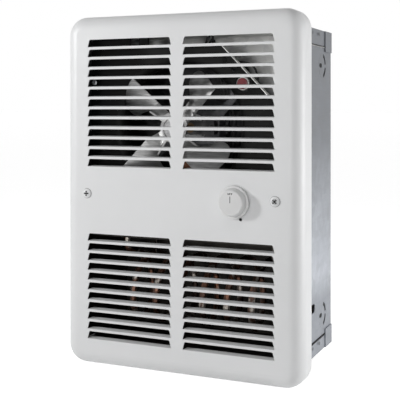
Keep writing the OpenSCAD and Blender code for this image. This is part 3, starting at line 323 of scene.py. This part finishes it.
def galvanised(name):
    """Zinc spangle: crystals that differ in tone and gloss, under faint rolling marks.

    Inside the box the zinc holds painted light, bright beside the deck's cut corner and chalky
    along the top of the back; elsewhere it holds painted shade, and around the element it is
    browned by the heat and darkened further with painted shade. Outside it holds painted
    reflection: lightest in the lower third, and darker at the top and at the bottom.
    """
    n = Nodes(name)
    crystal = n.cells(105)
    streak = n.noise(30, 4, stretch=(1, 1, 14))
    cloud = n.noise(9, 3)
    tone = n.plus(n.times(crystal, 0.5), n.plus(n.times(streak, 0.3), n.times(cloud, 0.5)))
    tone = n.ramp(tone, 0, 1, 0.3, 1.0)
    x, y, z = n.axes()

    # Outside: painted reflection, lightest in the lower third and darkest at the top, with
    # painted shade at the bottom.
    painted_bright_reflection = n.blend(tone, (0.33, 0.35, 0.385), (0.47, 0.49, 0.53))
    painted_dark_reflection = n.blend(tone, (0.118, 0.125, 0.138), (0.175, 0.186, 0.204))
    painted_foot_shade = n.blend(tone, (0.19, 0.205, 0.23), (0.29, 0.305, 0.335))
    side = n.blend(n.ramp(z, 0, 1, *PAINTED_TOP_SHADE_EDGE), painted_bright_reflection, painted_dark_reflection)
    outer = n.blend(n.ramp(z, 1, 0, *PAINTED_FOOT_SHADE_EDGE), side, painted_foot_shade)

    # Inside: painted light past the deck's cut corner and along the top of the back, painted
    # shade elsewhere, and heat browning darkened with painted shade round the element.
    painted_light_zinc = n.blend(tone, (0.80, 0.80, 0.79), (0.95, 0.95, 0.93))
    painted_shade_zinc = n.blend(tone, (0.035, 0.035, 0.036), (0.075, 0.075, 0.075))
    heat_browned_and_shaded_zinc = n.blend(tone, (0.014, 0.012, 0.010), (0.032, 0.027, 0.023))
    # Where the painted light falls: past the deck's cut corner, and along the top of the back.
    above_cut = n.plus(z, n.times(x, CUT_SLOPE))
    corner = n.ramp(above_cut, 0, 1, *PAINTED_LIGHT_EDGE)
    strip = n.times(n.ramp(z, 0, 1, *PAINTED_LIGHT_TOP), n.ramp(x, 0, 1, *PAINTED_LIGHT_LEFT))
    painted_light_mask = n.math("MAXIMUM", corner, strip)
    inner_heat_and_painted_light = n.blend(n.ramp(z, 1, 0, *HEAT_AND_SHADE_EDGE), n.blend(painted_light_mask, painted_shade_zinc, painted_light_zinc), heat_browned_and_shaded_zinc)

    inside = n.times(n.ramp(n.math("ABSOLUTE", x, 0), 1, 0, *INNER_SIDE),
                     n.ramp(y, 1, 0, *INNER_BACK))
    plain, bright, chalky = 0.55, 0.95, 0.05
    chalk = n.times(strip, n.ramp(above_cut, 1, 0, *PAINTED_LIGHT_EDGE))
    metallic = n.plus(n.ramp(n.times(inside, corner), plain, bright),
                      n.ramp(n.times(inside, chalk), 0, chalky - plain))
    n.principled(Base_Color=n.blend(inside, outer, inner_heat_and_painted_light), Metallic=metallic,
                 Roughness=n.ramp(crystal, 0.40, 0.52),
                 Normal=n.bump(n.noise(90, 3), 0.00005))
    return n.material


def metal(name, dark, light, roughness, stretch=(1, 1, 1), relief=0.00002, scale=80,
          metallic=1.0):
    """Bare or plated metal with rolling or turning marks."""
    n = Nodes(name)
    marks = n.noise(scale, 4, stretch=stretch)
    n.principled(Base_Color=n.blend(n.spread(marks), dark, light),
                 Roughness=n.spread(n.noise(35, 3), roughness - 0.06, roughness + 0.06),
                 Normal=n.bump(marks, relief), Metallic=metallic)
    return n.material


def plastic(name, dark, light, roughness, grain=0.00001, scale=900, sheen=0.5):
    """Moulded plastic, rubber or ceramic: a fine grain and a faint change of tone."""
    n = Nodes(name)
    n.principled(Base_Color=n.blend(n.spread(n.noise(40, 2)), dark, light),
                 Roughness=roughness, Normal=n.bump(n.noise(scale, 2), grain),
                 Specular_IOR_Level=sheen)
    return n.material


def sheath(name):
    """Element sheath: browned by heat in soft bands, with pale patches of scale."""
    n = Nodes(name)
    heat = n.ramp(n.noise(22, 3), 0, 1, 0.35, 0.65)
    fine = n.spread(n.noise(160, 4))
    scale = n.ramp(n.noise(55, 2), 0, 1, 0.55, 0.65)
    tint = n.blend(heat, (0.035, 0.020, 0.015), (0.30, 0.13, 0.075))
    browned = n.blend(fine, tint, (0.07, 0.05, 0.042))
    n.principled(Base_Color=n.blend(scale, browned, (0.52, 0.48, 0.43)),
                 Roughness=n.ramp(fine, 0.30, 0.48), Metallic=0.8,
                 Normal=n.bump(fine, 0.00002))
    return n.material


def laminations(name):
    """Stacked stampings: fine dark lines across the stack."""
    n = Nodes(name)
    wave = n.add("ShaderNodeTexWave", bands_direction="Y")
    n.put(wave, Vector=n.place, Scale=320)
    line = wave.outputs["Fac"]
    n.principled(Base_Color=n.blend(line, (0.05, 0.05, 0.055), (0.17, 0.17, 0.18)),
                 Roughness=0.5, Metallic=0.6, Normal=n.bump(line, 0.00008))
    return n.material


def winding(name):
    """Enamelled wire laid side by side."""
    n = Nodes(name)
    wave = n.add("ShaderNodeTexWave", bands_direction="X")
    n.put(wave, Vector=n.place, Scale=230)
    line = wave.outputs["Fac"]
    n.principled(Base_Color=n.blend(line, (0.05, 0.02, 0.012), (0.20, 0.09, 0.045)),
                 Roughness=0.35, Metallic=0.7, Normal=n.bump(line, 0.00012))
    return n.material


WHITE_COAT = (0.76, 0.765, 0.77)
MATERIALS = {
    "cover_paint": paint("cover_paint", WHITE_COAT, 0.42, 0.000012),
    "mark_black": plastic("mark_black", (0.006, 0.006, 0.006), (0.014, 0.014, 0.014), 0.6,
                          sheen=0.15),
    "knob_white": plastic("knob_white", (0.68, 0.68, 0.68), (0.72, 0.72, 0.72), 0.28),
    "zinc_steel": metal("zinc_steel", (0.52, 0.53, 0.55), (0.74, 0.75, 0.76), 0.30),
    "phenolic": plastic("phenolic", (0.10, 0.05, 0.03), (0.17, 0.09, 0.055), 0.38),
    "galvanised": galvanised("galvanised"),
    "deck_black": paint("deck_black", (0.013, 0.013, 0.0125), 0.6, 0.00001, mottle=0.3,
                        sheen=0.15),
    "aluminium": metal("aluminium", (0.30, 0.30, 0.30), (0.48, 0.48, 0.475), 0.38,
                       stretch=(1, 1, 9), scale=60),
    "hub_cast": metal("hub_cast", (0.30, 0.30, 0.31), (0.52, 0.52, 0.52), 0.45, relief=0.00005,
                      scale=400),
    "shaft_steel": metal("shaft_steel", (0.50, 0.50, 0.51), (0.70, 0.70, 0.70), 0.25,
                         stretch=(1, 6, 1)),
    "rotor": metal("rotor", (0.35, 0.35, 0.36), (0.55, 0.55, 0.55), 0.45, stretch=(8, 1, 8)),
    "laminations": laminations("laminations"),
    "nylon": plastic("nylon", (0.62, 0.59, 0.49), (0.72, 0.70, 0.60), 0.5),
    "copper_wire": winding("copper_wire"),
    "bronze": metal("bronze", (0.36, 0.22, 0.10), (0.55, 0.38, 0.20), 0.45, relief=0.00004,
                    scale=600),
    "element_sheath": sheath("element_sheath"),
    "ceramic": plastic("ceramic", (0.70, 0.68, 0.62), (0.80, 0.78, 0.72), 0.7, grain=0.00003,
                       scale=500),
    "switch_black": plastic("switch_black", (0.02, 0.02, 0.02), (0.04, 0.04, 0.04), 0.45),
    "bezel": metal("bezel", (0.56, 0.55, 0.53), (0.70, 0.69, 0.67), 0.34, relief=0.000005),
    "reset_red": plastic("reset_red", (0.13, 0.014, 0.02), (0.26, 0.03, 0.04), 0.3),
    "brass": metal("brass", (0.50, 0.36, 0.13), (0.72, 0.56, 0.26), 0.32),
    "ground_green": metal("ground_green", (0.03, 0.20, 0.07), (0.08, 0.36, 0.15), 0.35),
    "lead_insulation": plastic("lead_insulation", (0.012, 0.012, 0.012), (0.03, 0.03, 0.03),
                               0.5),
}

# Grey of the painted shadow round the cover screws' heads.
PAINTED_SHADOW_GREY = plastic("painted_shadow_grey", (0.22, 0.22, 0.22), (0.30, 0.30, 0.30), 0.8)
WELD_GREY = metal("weld_grey", (0.07, 0.075, 0.08), (0.13, 0.14, 0.15), 0.5, metallic=0.5)

# Nodes whose finish differs from their slot's: behind the fan the motor's parts are darkened
# with painted shade, the bearings also by oil; round the element the fittings are scaled,
# sooted and darkened further with painted shade; the thermostat's leads wear a light sleeve.
AGED_AND_SHADED = {
    "front_bearing_bracket": metal("shaded_steel", (0.05, 0.05, 0.052), (0.10, 0.10, 0.10), 0.5),
    "motor_bracket": metal("shaded_zinc", (0.06, 0.062, 0.065), (0.13, 0.13, 0.135), 0.5),
    "motor_bearings": metal("oiled_and_shaded_bronze", (0.10, 0.07, 0.04), (0.16, 0.11, 0.07), 0.5),
    "motor_bolts": metal("shaded_bolts", (0.10, 0.10, 0.105), (0.18, 0.18, 0.18), 0.45),
    "element_hangers": metal("scaled_and_shaded_steel", (0.04, 0.035, 0.03), (0.09, 0.08, 0.07), 0.5),
    "element_terminals": metal("scaled_and_shaded_studs", (0.05, 0.045, 0.04), (0.11, 0.10, 0.09), 0.5),
    "element_bushings": plastic("sooted_and_shaded_ceramic", (0.12, 0.11, 0.10), (0.20, 0.18, 0.16), 0.8),
    "thermostat_leads": plastic("pale_sleeve", (0.42, 0.42, 0.40), (0.52, 0.52, 0.50), 0.6),
}


def dress_nodes():
    """Each node wears its slot's material, or the one listed for it, which holds wear and
    painted shade.
    """
    for part in frame["record"]["subparts"]:
        look = AGED_AND_SHADED.get(part["node"], MATERIALS[part["material_slot"]])
        for slot in frame["nodes"][part["node"]].material_slots:
            slot.material = look


# ---- small pieces ----


def facing_room(x, y, z):
    """Places (across, up, out) on a plane that faces -Y."""
    return lambda a, b, out: Vector((x + a, y - out, z + b))


def facing_right(x, y, z):
    """Places (towards the wall, up, out) on a plane that faces +X."""
    return lambda a, b, out: Vector((x + out, y + a, z + b))


def plates(name, shapes, place, depth, material, body="frame"):
    """Flat plates raised by depth. A shape is a closed outline and then its holes."""
    mesh = bpy.data.meshes.new(name)
    bm = bmesh.new()
    lift = place(0, 0, depth) - place(0, 0, 0)
    for outlines in shapes:
        edges = []
        for outline in outlines:
            ring = [bm.verts.new(place(a, b, 0)) for a, b in outline]
            edges += [bm.edges.new(pair) for pair in zip(ring, ring[1:] + ring[:1])]
        filled = bmesh.ops.triangle_fill(bm, edges=edges, use_beauty=True)["geom"]
        faces = [f for f in filled if isinstance(f, bmesh.types.BMFace)]
        raised = bmesh.ops.extrude_face_region(bm, geom=faces)["geom"]
        bmesh.ops.translate(bm, vec=lift,
                            verts=[v for v in raised if isinstance(v, bmesh.types.BMVert)])
    bmesh.ops.recalc_face_normals(bm, faces=bm.faces)
    bm.to_mesh(mesh)
    bm.free()
    piece = bpy.data.objects.new(name, mesh)
    mesh.materials.append(material)
    bpy.context.scene.collection.objects.link(piece)
    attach(piece, body)


def bar(x0, z0, x1, z1):
    return [(x0, z0), (x1, z0), (x1, z1), (x0, z1)]


def arc(cx, cz, rx, rz, start, end, steps=12):
    return [(cx + rx * math.cos(start + (end - start) * i / steps),
             cz + rz * math.sin(start + (end - start) * i / steps)) for i in range(steps + 1)]


def band(cx, cz, rx, rz, stroke, start, end):
    """A part of an oval ring."""
    return (arc(cx, cz, rx, rz, start, end)
            + arc(cx, cz, rx - stroke, rz - stroke, end, start))


def disc(cx, cz, r, sides=36):
    return arc(cx, cz, r, r, 0, 2 * math.pi * (sides - 1) / sides, sides - 1)


def pill(cx, cz, length, height):
    """A slot with round ends."""
    r = height / 2
    reach = length / 2 - r
    return (arc(cx + reach, cz, r, r, -math.pi / 2, math.pi / 2, 6)
            + arc(cx - reach, cz, r, r, math.pi / 2, 3 * math.pi / 2, 6))


def turned(outline, angle, x):
    """An outline turned about its origin and then moved along x."""
    cos, sin = math.cos(angle), math.sin(angle)
    return [(x + a * cos - b * sin, a * sin + b * cos) for a, b in outline]


def inwards(edge, turn, near, far):
    """The heights at two distances inwards from a cap's outer edge, the lower one first."""
    return sorted((edge + turn * near, edge + turn * far))


def letter_f(x):
    """The three bars of an F that starts at x."""
    top, middle = WORD_Z + LETTER_H, WORD_Z + LETTER_H / 2
    return [bar(x, WORD_Z, x + STROKE, top),
            bar(x + STROKE, top - STROKE, x + LETTER_W, top),
            bar(x + STROKE, middle - STROKE / 2, x + F_BAR * LETTER_W, middle + STROKE / 2)]


def knob_marks():
    """OFF and a pointer line, printed on the knob's face."""
    left = -(3 * LETTER_W + 2 * LETTER_GAP) / 2
    shapes = [[band(left + LETTER_W / 2, WORD_Z + LETTER_H / 2, LETTER_W / 2, LETTER_H / 2,
                    STROKE, start, start + math.pi)] for start in (0, math.pi)]
    for i in (1, 2):
        shapes += [[outline] for outline in letter_f(left + i * (LETTER_W + LETTER_GAP))]
    shapes.append([bar(-POINTER_W / 2, 0, POINTER_W / 2, POINTER_TOP)])
    plates("knob_marks", shapes, facing_room(knob_x, knob_face + INK_UNDER, knob_z), INK_DEPTH,
           MATERIALS["mark_black"], "control")


def screw_details():
    """Painted shade on the floor of each cover screw's cross recess, and a painted shadow round
    its head.
    """
    low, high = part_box("cover_screws")
    z = (low[2] + high[2]) / 2
    head_r = z - low[2]
    cross = [bar(-CROSS_REACH, -CROSS_HALF, CROSS_REACH, CROSS_HALF),
             bar(-CROSS_HALF, CROSS_HALF, CROSS_HALF, CROSS_REACH),
             bar(-CROSS_HALF, -CROSS_REACH, CROSS_HALF, -CROSS_HALF)]
    crosses, painted_shadows = [], []
    for x, angle in zip((low[0] + head_r, high[0] - head_r), CROSS_TURNS):
        crosses += [[turned(outline, angle, x)] for outline in cross]
        painted_shadows.append([disc(x, 0, head_r + SHADOW_RING_OUTER), disc(x, 0, head_r + SHADOW_RING_INNER)])
    # Black plates of painted shade on the recesses' floors; the right one is turned an eighth of
    # a turn.
    plates("screw_recess_painted_shade", crosses, facing_room(0, low[1] + RECESS_UNDER + RECESS_DEPTH, z),
           RECESS_DEPTH, MATERIALS["mark_black"])
    # Grey rings of painted shadow round the heads, on the cover's face.
    plates("screw_painted_shadow_rings", painted_shadows, facing_room(0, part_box("front_cover")[0][1] + SHADOW_RING_UNDER, z),
           SHADOW_RING_DEPTH, PAINTED_SHADOW_GREY)


def knockouts():
    """Each knockout's disc, held at its front and by a strip at its rear, over a black disc of
    painted shade.
    """
    face = wrap_high[0]
    slits = [band(0, 0, KNOCKOUT_R, KNOCKOUT_R, SLIT_W, side * SLIT_START, side * SLIT_END)
             for side in (-1, 1)]
    pry_slot = pill(PRY_Y, 0, PRY_W, PRY_H)
    for name, z in (("upper", wrap_high[2] - KNOCKOUT_IN), ("lower", wrap_low[2] + KNOCKOUT_IN)):
        plates("knockout_disc_" + name, [[disc(0, 0, KNOCKOUT_R + DISC_LAP), *slits, pry_slot]],
               facing_right(face - DISC_SHEET, KNOCKOUT_Y, z), DISC_SHEET + DISC_PROUD,
               MATERIALS["galvanised"])
        # A black disc of painted shade, seen through the slits and the pry slot.
        plates("knockout_painted_shade_" + name, [[disc(0, 0, KNOCKOUT_R)]],
               facing_right(face - 2 * DISC_SHEET, KNOCKOUT_Y, z), DISC_SHEET,
               MATERIALS["mark_black"])


def deck_flange():
    """The edge folded back along the deck's cut corner, bright with the zinc's painted light."""
    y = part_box("fan_deck")[0][1]
    down = Vector((1, 0, -CUT_SLOPE)).normalized()
    out = Vector((CUT_SLOPE, 0, 1)).normalized()
    plates("deck_flange", [[bar(0, 0, FLANGE_DEPTH, FLANGE_SHEET)]],
           lambda a, b, along: Vector((FLANGE_X, y + a, FLANGE_Z)) + out * b + down * along,
           FLANGE_RUN, MATERIALS["galvanised"])


def side_laps():
    """Lapped sheet inside the left side, behind the caps' seams and front corners."""
    front, back = wrap_low[1] + LAP_FRONT, wrap_high[1] - LAP_BACK
    shapes = []
    for edge, turn, flange in caps:
        corner = inwards(edge, turn, CORNER_EDGE, CORNER_H)
        seam = inwards(edge, turn, flange - LAP_UNDER, flange + LAP_OVER)
        shapes.append([bar(front, corner[0], CORNER_Y, corner[1])])
        shapes.append([bar(front, seam[0], back, seam[1])])
    plates("side_laps", shapes, facing_right(wrap_low[0] + LAP_X, 0, 0), LAP_SHEET,
           MATERIALS["galvanised"])


def cap_details():
    """On the right side: painted shadow along each cap's flange, and the flange's spot welds."""
    face, front, back = wrap_high[0], wrap_low[1] + SEAM_FRONT, wrap_high[1] - SEAM_BACK
    painted_shadows, welds = [], []
    for (edge, turn, flange), width, weld in zip(caps, SEAM_SHADOW_WIDTHS, WELD_INS):
        seam = inwards(edge, turn, flange - SEAM_UNDER, flange + width)
        painted_shadows.append([bar(front, seam[0], back, seam[1])])
        welds += [[disc(y, edge + turn * weld, WELD_R)] for y in WELD_YS]
    # Black bars of painted shadow along the seams.
    plates("cap_seam_painted_shadows", painted_shadows, facing_right(face, 0, 0), cap_face - face + SEAM_PROUD,
           MATERIALS["mark_black"])
    plates("spot_welds", welds, facing_right(cap_face, 0, 0), WELD_PROUD, WELD_GREY)


# ---- stage ----


def white_for_camera(tree):
    """A factor that is 1 for rays that show the background: camera, glossy, transmission."""
    paths = tree.nodes.new("ShaderNodeLightPath")
    seen = paths.outputs["Is Camera Ray"]
    for kind in ("Is Glossy Ray", "Is Transmission Ray"):
        either = tree.nodes.new("ShaderNodeMath")
        either.operation = "MAXIMUM"
        tree.links.new(seen, either.inputs[0])
        tree.links.new(paths.outputs[kind], either.inputs[1])
        seen = either.outputs["Value"]
    return seen


def make_world():
    """A white background that lights the object only faintly."""
    world = bpy.data.worlds.new("studio")
    world.use_nodes = True
    bpy.context.scene.world = world
    tree = world.node_tree
    background = tree.nodes["Background"]
    background.inputs["Color"].default_value = (1, 1, 1, 1)
    strength = tree.nodes.new("ShaderNodeMapRange")
    strength.inputs["To Min"].default_value = AMBIENT
    strength.inputs["To Max"].default_value = 1.0
    tree.links.new(white_for_camera(tree), strength.inputs["Value"])
    tree.links.new(strength.outputs["Result"], background.inputs["Strength"])


def floor_material():
    """Pale and matt, with a glow that shows but lights nothing."""
    n = Nodes("floor")
    n.principled(Base_Color=(FLOOR_GREY, FLOOR_GREY, FLOOR_GREY, 1), Roughness=0.9)
    glow = n.add("ShaderNodeEmission")
    n.put(glow, Strength=FLOOR_GLOW)
    dark = n.add("ShaderNodeEmission")
    n.put(dark, Strength=0.0)
    pick = n.add("ShaderNodeMixShader")
    n.link(white_for_camera(n.tree), pick.inputs["Fac"])
    n.link(dark.outputs["Emission"], pick.inputs[1])
    n.link(glow.outputs["Emission"], pick.inputs[2])
    both = n.add("ShaderNodeAddShader")
    n.link(n.shader.outputs["BSDF"], both.inputs[0])
    n.link(pick.outputs["Shader"], both.inputs[1])
    n.link(both.outputs["Shader"], n.tree.nodes["Material Output"].inputs["Surface"])
    return n.material


def make_floor():
    mesh = bpy.data.meshes.new("floor")
    bm = bmesh.new()
    bmesh.ops.create_grid(bm, x_segments=1, y_segments=1, size=FLOOR_REACH)
    bm.to_mesh(mesh)
    bm.free()
    floor = bpy.data.objects.new("floor", mesh)
    floor.location.z = floor_z
    floor.data.materials.append(floor_material())
    bpy.context.scene.collection.objects.link(floor)


def make_light(name, at, size, watts):
    data = bpy.data.lights.new(name, "AREA")
    data.shape = "DISK"
    data.size = size
    data.energy = watts
    light = bpy.data.objects.new(name, data)
    light.location = at
    light.rotation_euler = (Vector(AIM) - Vector(at)).to_track_quat("-Z", "Y").to_euler()
    bpy.context.scene.collection.objects.link(light)


make_camera()
dress_nodes()
knob_marks()
screw_details()
knockouts()
deck_flange()
side_laps()
cap_details()
make_world()
make_floor()
make_light("key", **KEY)
make_light("front", **FRONT)
make_light("top", **TOP)
make_light("fill", **FILL)
bpy.context.scene.view_settings.view_transform = "Standard"
